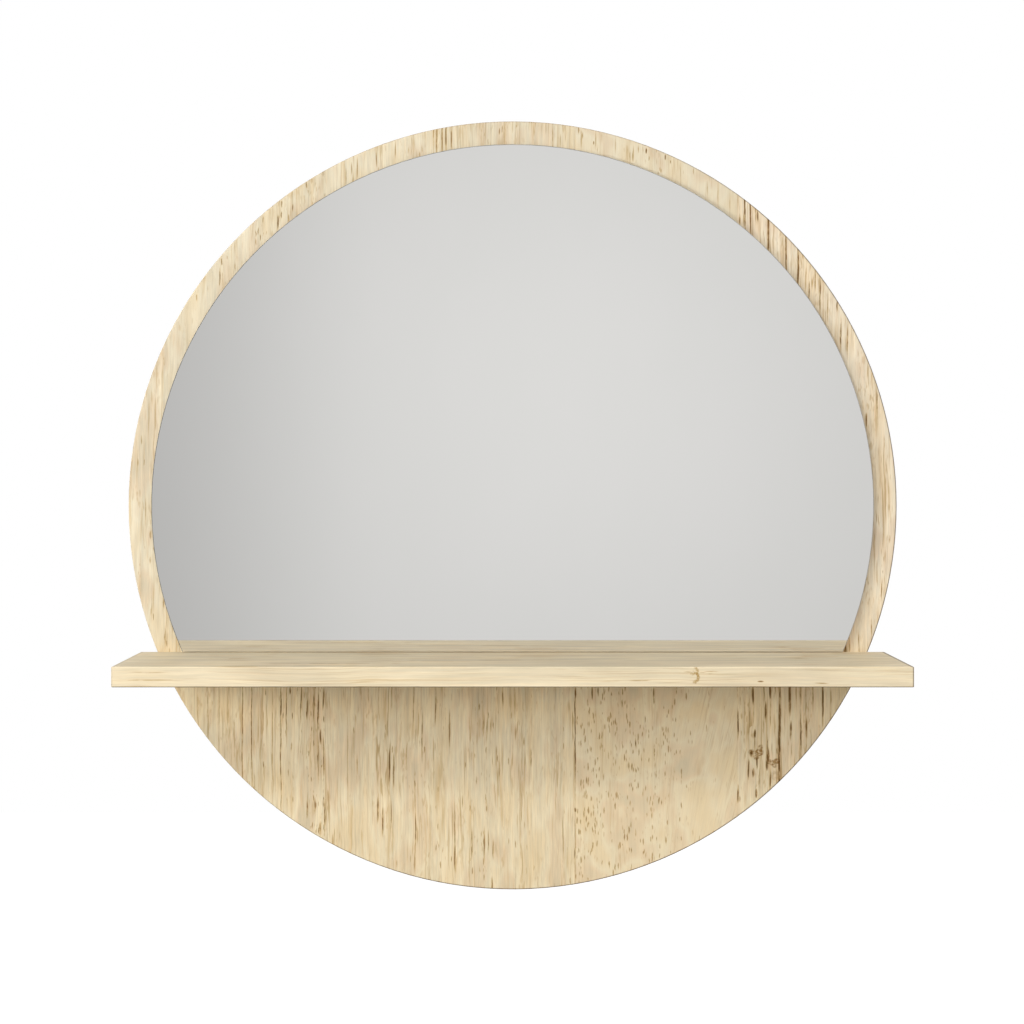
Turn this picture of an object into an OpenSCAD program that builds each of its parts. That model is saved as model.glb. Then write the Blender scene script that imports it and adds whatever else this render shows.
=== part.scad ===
// Round wall mirror with a shelf.
//
// Four upright boards, glued edge to edge, make a round panel. A round mirror, cut off
// straight at the bottom, is taped to the panel's front and leaves a rim of wood showing.
// A straight shelf crosses the panel just under the mirror. Dowels and long screws from
// behind hold it. Two keyhole plates, let into the panel's back, hang it on the wall.
//
// X runs to the viewer's right, Y runs into the wall and Z runs up. The origin is the
// centre of the panel's back face, which lies flat on the wall. All sizes are in
// millimetres.

/* [Panel] */
// Diameter of the round panel
panel_d = 640; // [610:1:720]
// Thickness of the panel's boards
panel_t = 16; // [15:0.5:25]
// Radius of the rounded edge round the panel, front and back
panel_edge_r = 1.2; // [0.5:0.1:3]
// Place of the left glue joint, measured from the panel's centre
joint_left_x = -156; // [-160:1:-95]
// Place of the middle glue joint
joint_middle_x = 52; // [10:1:75]
// Place of the right glue joint
joint_right_x = 187; // [175:1:205]

/* [Mirror] */
// Width of the wooden rim that shows round the mirror
rim_w = 20; // [12:0.5:40]
// Thickness of the mirror glass
glass_t = 4; // [3:0.5:6]
// Width of the ground bevel round the glass
glass_bevel = 0.6; // [0.3:0.1:1.2]
// Thickness of the silvering, its paint and the safety film together
film_t = 0.2; // [0.1:0.05:0.4]
// How far the film stays inside the glass's edge
film_inset = 1; // [0.5:0.1:3]
// Gap between the mirror's straight edge and the shelf's top
mirror_gap = 0.5; // [0.2:0.1:2]

/* [Mirror tape] */
// Thickness of the foam tape
tape_t = 1; // [0.8:0.1:2]
// Width of one strip of tape
tape_w = 25; // [15:1:30]
// How far the outermost strips stay inside the mirror's sides
tape_side_inset = 62.5; // [50:0.5:90]
// How far the strips' ends stay inside the mirror's edge
tape_end_inset = 25; // [10:1:40]

/* [Shelf] */
// Width of the shelf
shelf_w = 620; // [560:1:700]
// Depth of the shelf in front of the panel
shelf_depth = 120; // [80:1:180]
// Thickness of the shelf board
shelf_t = 16; // [15:0.5:25]
// How far the shelf's top lies below the panel's centre
shelf_drop = 122; // [90:1:160]
// Radius of the shelf's rounded edges
shelf_edge_r = 1; // [0.5:0.1:3]

/* [Shelf fixings] */
// How far the outer screws stay inside the panel's outline or the shelf's ends
screw_inset = 42; // [30:1:60]
// Length of the screws
screw_len = 50; // [40:1:60]
// Diameter of a screw's plain shank and of its thread
screw_d = 7; // [6:0.5:7]
// Diameter of a screw at the root of its thread
screw_root_d = 5; // [3:0.5:5]
// Distance from one turn of the thread to the next
screw_pitch = 3; // [2:0.5:4]
// Diameter of a screw's countersunk head
screw_head_d = 10; // [9:0.5:12]
// How far the screw heads lie below the panel's back face
screw_sink = 0.5; // [0.2:0.1:1]
// Diameter of the dowels
dowel_d = 8; // [6:1:10]
// Length of a dowel inside the panel
dowel_in_panel = 11; // [8:0.5:12]
// Length of a dowel inside the shelf
dowel_in_shelf = 25; // [18:1:32]

/* [Keyhole plates] */
// Height of the keyhole plates above the panel's centre
hanger_z = 160; // [130:1:180]
// How far the keyhole plates' middles stay inside the panel's outline
hanger_inset = 57; // [50:1:70]
// Length of a keyhole plate
hanger_len = 54; // [52:1:64]
// Width of a keyhole plate
hanger_w = 20; // [18:1:26]
// Thickness of a keyhole plate
hanger_t = 2; // [2:0.5:3]
// Diameter of the keyhole's round end, which a wall screw's head goes through
keyhole_d = 10; // [8:0.5:11]
// Width of the keyhole's slot, which a wall screw's shank slides up
keyslot_w = 5; // [4.5:0.1:6]
// How far the shank slides up the slot
keyslot_travel = 12; // [10:0.5:14]
// Depth of the pocket behind a plate, where the wall screw's head slides
pocket_depth = 8; // [6:0.5:10]
// How much wider than the keyhole that pocket is, on each side
pocket_play = 1; // [0.5:0.25:2]
// Diameter of the plate screws
plate_screw_d = 3.5; // [3:0.5:4]
// Diameter of a plate screw at the root of its thread
plate_screw_root_d = 2.4; // [1.8:0.1:2.6]
// Distance from one turn of its thread to the next
plate_screw_pitch = 1.5; // [1:0.25:2]
// Diameter of the plate screws' countersunk heads
plate_screw_head_d = 6.5; // [6:0.5:7]
// Length of the plate screws
plate_screw_len = 12; // [10:0.5:13]
// Distance from a plate screw's middle to the end of the plate
plate_screw_inset = 7; // [6:0.5:8]

/* [Clearances] */
// Gap all round a screw or a dowel in its hole
hole_play = 0.1; // [0.05:0.05:0.2]
// Gap all round a keyhole plate in its recess
plate_play = 0.2; // [0.1:0.05:0.4]
// Free depth past the end of a screw or a dowel in its blind hole
hole_end_play = 1; // [0.5:0.1:1.5]

/* [Hidden] */
$fn = 96;
cut = 1;                    // how far a cutting shape runs past the face that it opens
panel_edge_fn = 12;         // flats in a full turn of the panel's rounded edge

panel_r = panel_d / 2;
joints_x = [-panel_r - cut, joint_left_x, joint_middle_x, joint_right_x, panel_r + cut];
board_names = ["board_left", "board_middle_left", "board_middle_right", "board_right"];

mirror_r = panel_r - rim_w;
film_back_y = -panel_t - tape_t;
glass_back_y = film_back_y - film_t;
mirror_foot_z = mirror_gap - shelf_drop;

// The strips of tape stand side by side, at even steps between the outermost two.
tape_count = 6;
tape_reach = mirror_r - tape_side_inset - tape_w / 2;
tapes_x = [for (i = [0:tape_count - 1]) tape_reach * (2 * i / (tape_count - 1) - 1)];
tape_names = [for (i = [1:tape_count]) str("mirror_tape_", i)];

// The screws stand at even steps, with a dowel half way between each pair.
shelf_mid_z = -shelf_drop - shelf_t / 2;
screw_count = 4;
dowel_count = screw_count - 1;
screw_reach = min(sqrt(pow(panel_r, 2) - pow(shelf_mid_z, 2)), shelf_w / 2) - screw_inset;
screw_step = 2 * screw_reach / dowel_count;
screws_x = [for (i = [0:screw_count - 1]) i * screw_step - screw_reach];
dowels_x = [for (i = [0:dowel_count - 1]) (i + 0.5) * screw_step - screw_reach];
dowel_names = [for (i = [1:dowel_count]) str("shelf_dowel_", i)];
dowel_flutes = 12;
dowel_flute_d = 0.7;
dowel_chamfer = 1;

hanger_x = sqrt(pow(panel_r, 2) - pow(hanger_z, 2)) - hanger_inset;
plate_screw_z = hanger_len / 2 - plate_screw_inset;
plate_screw_neck = hanger_t + 1;
pocket_w = keyhole_d + 2 * pocket_play;

head_lip_t = 0.2;           // upright edge of a countersunk head
recess_share = 0.55;        // width of a head's cross recess, as a share of the head's
recess_depth_share = 0.25;  // depth of that recess, as a share of the head's width

wood = "#e2cc9f";
wood_shelf = "#ead7ab";
wood_dowel = "#d9b98a";
steel = "#b9bcc0";
silver_glass = "#d3d5d4";
grey_film = "#8d9196";
white_foam = "#f1f1ee";

// ---------------------------------------------------------------- shared shapes

// Turns what is drawn upward so that it runs forwards, away from the wall.
module forwards_from(y = 0) {
    translate([0, y, 0]) rotate([90, 0, 0]) children();
}

// A rectangle from the origin to size, with rounded corners.
module rounded_rectangle(size, r) {
    translate([r, 0]) square([size[0] - 2 * r, size[1]]);
    translate([0, r]) square([size[0], size[1] - 2 * r]);
    for (x = [r, size[0] - r], y = [r, size[1] - r])
        translate([x, y]) circle(r);
}

// An upright slot with round ends, centred.
module slot(length, width) {
    square([width, length - width], center = true);
    for (side = [-1, 1])
        translate([0, side * (length - width) / 2]) circle(d = width);
}

// A hole from the origin forwards, with play for a round piece of diameter d.
module drill(d, depth) {
    translate([0, 0, -cut]) cylinder(d = d + 2 * hole_play, h = cut + depth);
}

// Cone of a countersunk screw on its short upright edge, or its seat when play is given.
module countersunk_cone(head_d, shank_d, play = 0) {
    cylinder(d = head_d + 2 * play, h = head_lip_t);
    translate([0, 0, head_lip_t])
        cylinder(d1 = head_d + 2 * play, d2 = shank_d + 2 * play, h = (head_d - shank_d) / 2);
}

// Head and plain shank of a countersunk screw, with a cross recess in the head.
module countersunk_screw(head_d, shank_d, shank_len) {
    recess_w = head_d * recess_share;
    arm_w = recess_w / 4;
    difference() {
        union() {
            countersunk_cone(head_d, shank_d);
            cylinder(d = shank_d, h = shank_len);
        }
        for (turn = [0, 90]) rotate(turn) translate([-recess_w / 2, -arm_w / 2, -cut])
            cube([recess_w, arm_w, cut + head_d * recess_depth_share]);
    }
}

// A threaded length: a core with a pointed tip and a row of sharp ridges. Each point of a
// ridge is a radius and a share of the pitch.
module thread(length, outer_d, root_d, pitch) {
    root_r = root_d / 2;
    outer_r = outer_d / 2;
    ridge = [[root_r, 0.25], [outer_r, 0.45], [outer_r, 0.55], [root_r, 0.75]];
    tip = root_r;
    ridge_count = floor((length - tip) / pitch);
    rotate_extrude() polygon(concat(
        [[0, 0], [root_r, 0]],
        [for (i = [0:ridge_count - 1], p = ridge) [p[0], (i + p[1]) * pitch]],
        [[root_r, length - tip], [0, length]]
    ));
}

// A round sheet or rod with both its edges bevelled.
module bevelled_disc(r, thickness, bevel) {
    cylinder(r1 = r - bevel, r2 = r, h = bevel);
    translate([0, 0, bevel]) cylinder(r = r, h = thickness - 2 * bevel);
    translate([0, 0, thickness - bevel]) cylinder(r1 = r, r2 = r - bevel, h = bevel);
}

// ---------------------------------------------------------------- panel

// The whole round panel before it is parted into boards.
module panel_blank() {
    forwards_from() rotate_extrude() intersection() {
        translate([-panel_r, 0])
            rounded_rectangle([panel_d, panel_t], panel_edge_r, $fn = panel_edge_fn);
        square([panel_r, panel_t]);
    }
}

// A clearance hole right through the panel, with a seat for the screw's head.
module shelf_screw_hole() {
    forwards_from() drill(screw_d, panel_t + cut);
    forwards_from() drill(screw_head_d, screw_sink);
    forwards_from(-screw_sink) countersunk_cone(screw_head_d, screw_d, hole_play);
}

// A recess for the keyhole plate, a deeper pocket where the wall screw's head slides, and
// pilot holes for the plate's own screws.
module hanger_recess() {
    forwards_from(cut) linear_extrude(cut + hanger_t)
        slot(hanger_len + 2 * plate_play, hanger_w + 2 * plate_play);
    forwards_from(cut) linear_extrude(cut + hanger_t + pocket_depth)
        slot(keyslot_travel + pocket_w, pocket_w);
    for (end = [-1, 1]) translate([0, 0, end * plate_screw_z])
        forwards_from() drill(plate_screw_d, plate_screw_len + hole_end_play);
}

// Everything that is drilled or routed into the panel.
module panel_cuts() {
    for (x = screws_x) translate([x, 0, shelf_mid_z]) shelf_screw_hole();
    for (x = dowels_x) translate([x, -panel_t, shelf_mid_z])
        rotate([-90, 0, 0]) drill(dowel_d, dowel_in_panel + hole_end_play);
    for (side = [-1, 1]) translate([side * hanger_x, 0, hanger_z]) hanger_recess();
}

// One upright board of the panel, from the i-th of joints_x to the next.
module board(i) {
    color(wood) difference() {
        intersection() {
            panel_blank();
            translate([joints_x[i], -panel_t - cut, -panel_r - cut])
                cube([joints_x[i + 1] - joints_x[i], panel_t + 2 * cut, panel_d + 2 * cut]);
        }
        panel_cuts();
    }
}

// ---------------------------------------------------------------- mirror

// The round glass, cut off straight above the shelf.
module mirror_glass() {
    color(silver_glass) intersection() {
        forwards_from(glass_back_y) bevelled_disc(mirror_r, glass_t, glass_bevel);
        translate([-mirror_r - cut, glass_back_y, mirror_foot_z]) rotate([90, 0, 90])
            linear_extrude(2 * (mirror_r + cut)) polygon([
                [0, glass_bevel],
                [-glass_bevel, 0],
                [glass_bevel - glass_t, 0],
                [-glass_t, glass_bevel],
                [-glass_t, 2 * mirror_r],
                [0, 2 * mirror_r]
            ]);
    }
}

// The silvering with its paint and safety film, on the back of the glass.
module mirror_film() {
    color(grey_film) intersection() {
        forwards_from(film_back_y) cylinder(r = mirror_r - film_inset, h = film_t);
        translate([-mirror_r, glass_back_y - cut, mirror_foot_z + film_inset])
            cube([2 * mirror_r, film_t + 2 * cut, 2 * mirror_r]);
    }
}

// One upright strip of foam tape between the film and the panel.
module mirror_tape(i) {
    bottom_z = mirror_foot_z + tape_end_inset;
    outer_x = abs(tapes_x[i]) + tape_w / 2;
    top_z = sqrt(pow(mirror_r - tape_end_inset, 2) - pow(outer_x, 2));
    color(white_foam) translate([tapes_x[i] - tape_w / 2, film_back_y, bottom_z])
        cube([tape_w, tape_t, top_z - bottom_z]);
}

// ---------------------------------------------------------------- shelf

// The shelf board, with all its edges rounded but those at the panel.
module shelf_blank() {
    intersection() {
        translate([-shelf_w / 2, -panel_t - shelf_depth, -shelf_drop - shelf_t])
            rotate([90, 0, 90]) linear_extrude(shelf_w) intersection() {
                rounded_rectangle([2 * shelf_depth, shelf_t], shelf_edge_r);
                square([shelf_depth, shelf_t]);
            }
        translate([-shelf_w / 2, cut, -shelf_drop - shelf_t])
            forwards_from() linear_extrude(panel_t + shelf_depth + 2 * cut)
                rounded_rectangle([shelf_w, shelf_t], shelf_edge_r);
        translate([-shelf_w / 2, -panel_t - shelf_depth, -shelf_drop - shelf_t - cut])
            linear_extrude(shelf_t + 2 * cut)
                rounded_rectangle([shelf_w, 2 * shelf_depth], shelf_edge_r);
    }
}

module shelf() {
    screw_in_shelf = screw_len + screw_sink - panel_t;
    color(wood_shelf) difference() {
        shelf_blank();
        for (x = screws_x) translate([x, -panel_t, shelf_mid_z])
            forwards_from() drill(screw_d, screw_in_shelf + hole_end_play);
        for (x = dowels_x) translate([x, -panel_t, shelf_mid_z])
            forwards_from() drill(dowel_d, dowel_in_shelf + hole_end_play);
    }
}

// Long countersunk screws that pull the shelf against the panel's front.
module shelf_screws() {
    shank_len = panel_t - screw_sink;
    color(steel) for (x = screws_x) translate([x, 0, shelf_mid_z]) forwards_from(-screw_sink) {
        countersunk_screw(screw_head_d, screw_d, shank_len);
        translate([0, 0, shank_len])
            thread(screw_len - shank_len, screw_d, screw_root_d, screw_pitch);
    }
}

// A fluted dowel across the seam between the panel and the shelf.
module shelf_dowel(i) {
    length = dowel_in_panel + dowel_in_shelf;
    color(wood_dowel) translate([dowels_x[i], 0, shelf_mid_z])
        forwards_from(dowel_in_panel - panel_t) difference() {
            bevelled_disc(dowel_d / 2, length, dowel_chamfer);
            for (turn = [1:dowel_flutes]) rotate(turn * 360 / dowel_flutes)
                translate([dowel_d / 2, 0, -cut]) cylinder(d = dowel_flute_d, h = length + 2 * cut);
        }
}

// ---------------------------------------------------------------- keyhole plates

// A plate flush with the panel's back. A wall screw's head goes in at the keyhole's round
// end, and the panel then drops until the screw's shank meets the slot's upper end.
module keyhole_plate(side) {
    color(steel) translate([side * hanger_x, 0, hanger_z]) difference() {
        forwards_from() linear_extrude(hanger_t) difference() {
            slot(hanger_len, hanger_w);
            translate([0, -keyslot_travel / 2]) circle(d = keyhole_d);
            slot(keyslot_travel + keyslot_w, keyslot_w);
        }
        for (end = [-1, 1]) translate([0, 0, end * plate_screw_z]) forwards_from() {
            drill(plate_screw_d, hanger_t + cut);
            countersunk_cone(plate_screw_head_d, plate_screw_d, hole_play);
        }
    }
}

// The two small countersunk screws of one keyhole plate.
module plate_screws(side) {
    color(steel) translate([side * hanger_x, 0, hanger_z])
        for (end = [-1, 1]) translate([0, 0, end * plate_screw_z]) forwards_from() {
            countersunk_screw(plate_screw_head_d, plate_screw_d, plate_screw_neck);
            translate([0, 0, plate_screw_neck])
                thread(plate_screw_len - plate_screw_neck, plate_screw_d,
                       plate_screw_root_d, plate_screw_pitch);
        }
}

// ---------------------------------------------------------------- pieces

for (i = [0:len(board_names) - 1])
    board(i);
mirror_glass();
mirror_film();
for (i = [0:tape_count - 1])
    mirror_tape(i);
shelf();
shelf_screws();
for (i = [0:dowel_count - 1])
    shelf_dowel(i);
keyhole_plate(-1);  // keyhole_plate_left
keyhole_plate(1);  // keyhole_plate_right
plate_screws(-1);  // plate_screws_left
plate_screws(1);  // plate_screws_right
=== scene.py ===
"""Looks for the round wall mirror with a shelf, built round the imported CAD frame.

Metres throughout, in the CAD frame: +X to the viewer's right, +Y into the wall, +Z up.
The origin is the centre of the panel's back face. Patterns in wood are worked out in
millimetres from the object's own coordinates, so they run through each board in depth.
"""
import math

import bmesh
import bpy
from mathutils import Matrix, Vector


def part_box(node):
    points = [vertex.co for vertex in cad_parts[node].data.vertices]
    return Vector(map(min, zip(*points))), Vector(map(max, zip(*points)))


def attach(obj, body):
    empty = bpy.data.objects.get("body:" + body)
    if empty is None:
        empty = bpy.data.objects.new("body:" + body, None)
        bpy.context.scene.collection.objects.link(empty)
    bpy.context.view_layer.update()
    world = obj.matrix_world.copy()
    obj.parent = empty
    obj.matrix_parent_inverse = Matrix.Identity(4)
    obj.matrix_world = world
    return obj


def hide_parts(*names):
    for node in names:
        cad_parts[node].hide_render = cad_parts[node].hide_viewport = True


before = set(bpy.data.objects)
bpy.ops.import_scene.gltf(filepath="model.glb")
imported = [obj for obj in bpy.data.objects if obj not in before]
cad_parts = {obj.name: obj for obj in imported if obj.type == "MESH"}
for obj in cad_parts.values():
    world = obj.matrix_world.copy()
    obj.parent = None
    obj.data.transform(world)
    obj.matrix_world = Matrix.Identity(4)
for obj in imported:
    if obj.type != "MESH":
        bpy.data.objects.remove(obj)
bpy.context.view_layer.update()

MM = 0.001
BODY = "root"
WHITE = (1.0, 1.0, 1.0, 1.0)

# ---------------------------------------------------------------- places from the CAD

JOINT_LEFT, JOINT_MIDDLE, JOINT_RIGHT = -156.0, 52.0, 187.0
PANEL_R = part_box("board_middle_left")[1].z / MM
PANEL_FRONT_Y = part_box("board_middle_left")[0].y / MM
SHELF_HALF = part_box("shelf")[1].x / MM
SHELF_FRONT_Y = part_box("shelf")[0].y / MM


def linear(red, green, blue):
    """A colour given as sRGB from 0 to 255, as linear RGBA."""
    def one(v):
        v = v / 255.0
        return v / 12.92 if v <= 0.04045 else ((v + 0.055) / 1.055) ** 2.4
    return (one(red), one(green), one(blue), 1.0)


# ---------------------------------------------------------------- node helper

class Net:
    """Short calls for building a node tree. An input is a number, a tuple or a socket."""

    def __init__(self, tree):
        self.tree = tree
        self.tree.nodes.clear()

    def put(self, socket, value):
        if isinstance(value, bpy.types.NodeSocket):
            self.tree.links.new(value, socket)
        elif value is not None:
            socket.default_value = value

    def node(self, kind, inputs=(), **props):
        made = self.tree.nodes.new("ShaderNode" + kind)
        for name, value in props.items():
            setattr(made, name, value)
        for key, value in dict(inputs).items():
            self.put(made.inputs[key], value)
        return made

    def coords(self, kind="Object"):
        """The object's own coordinates, its Normal, or the world's direction as Generated."""
        return self.node("TexCoord").outputs[kind]

    def split(self, vector):
        return self.node("SeparateXYZ", {0: vector}).outputs

    def grey(self, level):
        return self.node("CombineColor", {0: level, 1: level, 2: level}).outputs[0]

    def math(self, operation, a, b=None, c=None, clamp=False):
        made = self.node("Math", operation=operation, use_clamp=clamp)
        for socket, value in zip(made.inputs, (a, b, c)):
            self.put(socket, value)
        return made.outputs[0]

    def times(self, a, b, clamp=False):
        return self.math("MULTIPLY", a, b, clamp=clamp)

    def vector(self, operation, a, b=None):
        made = self.node("VectorMath", operation=operation)
        self.put(made.inputs[0], a)
        self.put(made.inputs[1], b)
        single = operation in ("DOT_PRODUCT", "LENGTH", "DISTANCE")
        return made.outputs["Value" if single else "Vector"]

    def ramp(self, value, low, high, to_low=0.0, to_high=1.0, smooth=True):
        """value between low and high as a number between to_low and to_high."""
        made = self.node("MapRange", clamp=True)
        made.interpolation_type = "SMOOTHSTEP" if smooth else "LINEAR"
        for socket, number in zip(made.inputs, (value, low, high, to_low, to_high)):
            self.put(socket, number)
        return made.outputs[0]

    def noise(self, vector, detail=2.0, roughness=0.5):
        made = self.node("TexNoise", {
            "Vector": vector, "Scale": 1.0, "Detail": detail, "Roughness": roughness,
        })
        return made.outputs[0]

    def mix(self, factor, a, b, blend="MIX"):
        made = self.node("Mix", data_type="RGBA", blend_type=blend)
        self.put(made.inputs[0], factor)
        self.put(made.inputs[6], a)
        self.put(made.inputs[7], b)
        return made.outputs[2]

    def tint(self, factor, colour, tint):
        """The colour multiplied by the tint, as far as factor says."""
        return self.mix(factor, colour, tint, "MULTIPLY")

    def steps(self, value, stops):
        """A colour or a grey level for each place between 0 and 1."""
        made = self.node("ValToRGB", {"Fac": value})
        band = made.color_ramp
        band.interpolation = "LINEAR"
        while len(band.elements) > 1:
            band.elements.remove(band.elements[-1])
        for i, (place, colour) in enumerate(stops):
            element = band.elements[0] if i == 0 else band.elements.new(place)
            element.position = place
            grey = isinstance(colour, (int, float))
            element.color = (colour, colour, colour, 1.0) if grey else colour
        return made.outputs[0]


def new_material(name):
    made = bpy.data.materials.new(name)
    made.use_nodes = True
    net = Net(made.node_tree)
    shader = net.node("BsdfPrincipled")
    out = net.node("OutputMaterial")
    net.put(out.inputs["Surface"], shader.outputs[0])
    return made, net, shader


def add_bump(net, shader, height, strength, depth):
    """Relief on the surface, depth millimetres from the height 0 to 1."""
    relief = net.node("Bump", {"Strength": strength, "Distance": depth * MM, "Height": height})
    net.put(shader.inputs["Normal"], relief.outputs[0])


# The values between which most of a noise lies.
MOST = (0.3, 0.7)


# ---------------------------------------------------------------- wood: colours and sizes

PALE = linear(241, 224, 188)
CREAM = linear(238, 217, 177)
HONEY = linear(238, 216, 174)
BLUSH = linear(235, 212, 174)
ASH = linear(225, 207, 172)
PANEL_ZONES = ((0.26, HONEY), (0.40, CREAM), (0.50, PALE), (0.60, BLUSH), (0.72, ASH))
SHELF_ZONES = (
    (0.32, linear(239, 222, 188)), (0.45, linear(241, 225, 192)),
    (0.58, linear(238, 220, 186)), (0.70, linear(238, 222, 192)),
)

# How much of each colour a mark lets through, from a bare board to the darkest pore.
MARK_TINTS = (
    (0.0, WHITE), (0.3, (0.86, 0.79, 0.68, 1.0)), (0.6, (0.61, 0.49, 0.33, 1.0)),
    (0.8, (0.407, 0.307, 0.188, 1.0)), (1.0, (0.240, 0.157, 0.073, 1.0)),
)

# Tints that multiply the wood's colour. UPPER, UPPER_RIGHT and SHELF_FADE hold past TURN on the
# panel, its right-hand board and the shelf. The tint after SHELF_FADE is painted warm bounce
# light in the shelf's shadow on the panel's face under the shelf.
UPPER = (0.925, 0.965, 1.055, 1.0)
UPPER_RIGHT = (1.03, 1.055, 1.18, 1.0)
SHELF_FADE = (0.98, 0.98, 0.98, 1.0)
WARM_SHADE_UNDER_SHELF = (1.09, 1.06, 1.0, 1.0)
RESIN = (0.57, 0.42, 0.18, 1.0)
DARK_RESIN = (0.46, 0.33, 0.18, 1.0)
END_GRAIN = (0.60, 0.48, 0.32, 1.0)
# Painted shade on rounded edges, and a painted highlight on the shelf's upper front edge.
PAINTED_EDGE_SHADE = (0.26, 0.22, 0.19, 1.0)
PAINTED_EDGE_HIGHLIGHT = (1.06, 1.06, 1.06, 1.0)

# Places along the grain between which a board's second tint and figure take over. On the
# panel that is behind the shelf.
TURN = (-134.0, -108.0)
# Heights over which the painted warm bounce light in the shelf's shadow fades in and out.
SHELF_SHADE_BEGINS = (-197.0, -165.0)
SHELF_SHADE_ENDS = (-138.0, -122.0)

# Depths behind the visible face between which things on the face fade out.
SHELF_SHADE_DEPTH = (0.5, 4.0)
STREAK_DEPTH = (1.0, 9.0)
SCAR_DEPTH = (1.0, 5.0)
RIM_DEPTH = (1.0, 2.2)

# Noise patterns: the size across and along the grain (None where the board's own list gives
# it), a number added to the board's seed, the noise's detail and roughness, and the two
# values between which the pattern shows.
PATTERNS = {
    "wander": ((20.0, 18.0), 1, 2.0, 0.5, None),
    "sway": (None, 0, 2.0, 0.5, None),
    "ring_width": ((30.0, 420.0), 2, 1.0, 0.5, None),
    "zone": (None, 4, 2.0, 0.6, None),
    "patch": ((6.5, 55.0), 5, 3.0, 0.6, (0.28, 0.72)),
    "stripe": ((2.3, 60.0), 10, 2.0, 0.6, (0.28, 0.72)),
    "fibre": ((0.8, 17.0), 6, 3.0, 0.7, (0.25, 0.75)),
    "band": (None, 18, 2.0, 0.6, (0.32, 0.68)),
    "busy": ((16.0, 90.0), 11, 2.0, 0.5, (0.37, 0.63)),
    "fine": (None, 3, 2.0, 0.55, (0.54, 0.70)),
    "long": (None, 16, 1.0, 0.5, (0.56, 0.70)),
    "curly": ((15.0, 45.0), 15, 2.0, 0.5, (0.50, 0.66)),
    "curl": ((1.8, 8.0), 14, 1.0, 0.5, (0.50, 0.70)),
    "broken": ((5.0, 36.0), 12, 3.0, 0.5, (0.42, 0.66)),
    "flock": ((8.0, 15.0), 17, 2.0, 0.5, (0.38, 0.60)),
    "pore_fray": ((2.0, 3.5), 20, 2.0, 0.5, None),
    "scar_fray": ((1.8, 1.5), 21, 2.0, 0.5, None),
    "scar": ((1.5, 1.5), 22, 2.0, 0.5, (0.32, 0.60)),
    "rough": ((1.3, 8.0), 9, 3.0, 0.6, (0.28, 0.60)),
}
SWAY_ACROSS = 80.0
LONG_SIZE = (0.8, 3.0)
SEED_STEP = (7.31, 3.77, 5.13)

RING_DRIFT = 2.6
POROUS_PART = (0.0, 0.22)
DENSE_PART = (0.35, 1.0)
LONG_SHARE = 0.85
BUSY_SHARE = (0.15, 1.05)

LARGE_PORE_STEP, SMALL_PORE_STEP = 7, 8
PORE_FRAY = 0.55
PORE_OUTLINE, PORE_CORE = 1.35, 0.55
PORE_CUT = 6.0
SMALL_PORE_SHARE = 0.65
FLOCK_MOST = 1.25

STREAK_WIDTH = 0.78
STREAK_GAIN = 1.25
STREAK_BEHIND = 0.25
MARK_SHARE = (0.40, 1.15)
SCAR_FRAY = 1.3
SCAR_CORE = 0.2
SCAR_TURN = 1.5
SCAR_SHARE = (0.35, 1.1)

# Parts of the surface normal between which a face counts as end grain, rounded, or facing a way.
END_FACE = (0.35, 0.9)
ROUNDED = (0.98, 0.85)
DOWNWARD, UPWARD = (-0.15, -0.5), (0.15, 0.5)
FORWARD = (-0.15, -0.4)
ON_TOP = (0.3, 0.8)
ON_END = (0.85, 0.98)

# Painted shade on rounded edges, darkest on the side away from the light: how far inside the
# outline it begins and is full, the way in which it grows darker, and (from, to, share, share)
# along it.
RIM_SHADE_BAND = (1.3, 0.5)
SHELF_SHADE_BAND = (1.5, 0.4)
WIDER_ON_TOP = 1.6
AWAY_FROM_LIGHT = (2.7, 0.0, -1.7)
RIM_SHADED_SIDE = (-0.45, 0.45, 0.12, 1.0)
SHELF_SHADED_SIDE = (-0.25, 0.25, 0.25, 0.8)
END_GRAIN_SHARE = 0.45
END_FACE_SHARE = 0.15

MARK_HEIGHT, FIBRE_HEIGHT = -0.8, 0.25
WOOD_BUMP = (0.35, 0.3)
WOOD_ROUGHNESS = (0.50, 0.60)
MARK_ROUGHNESS = 0.2
WOOD_SPECULAR = 0.2

# What a board of the panel looks like unless its own list says otherwise, in millimetres.
# pore and small_pore are (spacing across, spacing along, share filled).
WOOD_LOOK = {
    "zones": PANEL_ZONES, "zone_size": (24.0, 65.0), "fade": UPPER, "rim": PANEL_R,
    "ring": 9.0, "late": 0.05, "depth": 1.0,
    "sway": 3.0, "sway_length": 110.0, "jitter": 0.7, "lean": None,
    "patch": (0.94, 1.04), "stripe": (0.93, 1.06), "fibre": (0.90, 1.09), "bands": None,
    "line_size": (1.7, 24.0), "fine": 0.58, "curl": 0.70, "lines": 0.34,
    "pores": None, "ring_pores": 0.30, "pore": (1.9, 13.0, 0.24), "small_pore": (1.3, 8.0, 0.22),
    "pore_tone": (0.32, 0.92), "gaps": 0.7, "pores_above": 1.0,
    "streaks": (), "seams": (), "arcs": (), "resin": DARK_RESIN,
}


# ---------------------------------------------------------------- wood: nodes

def grain_space(net, along, depth):
    """Object coordinates in millimetres, turned so that the third runs with the grain.

    depth below 1 draws the figure out front to back, as on the broad face of a flat-sawn board.
    """
    x, y, z = net.split(net.coords())
    order = (x, y, z) if along == "Z" else (z, y, x)
    turned = net.node("CombineXYZ", dict(enumerate(order))).outputs[0]
    return net.vector("MULTIPLY", turned, (1.0 / MM, depth / MM, 1.0 / MM))


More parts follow.
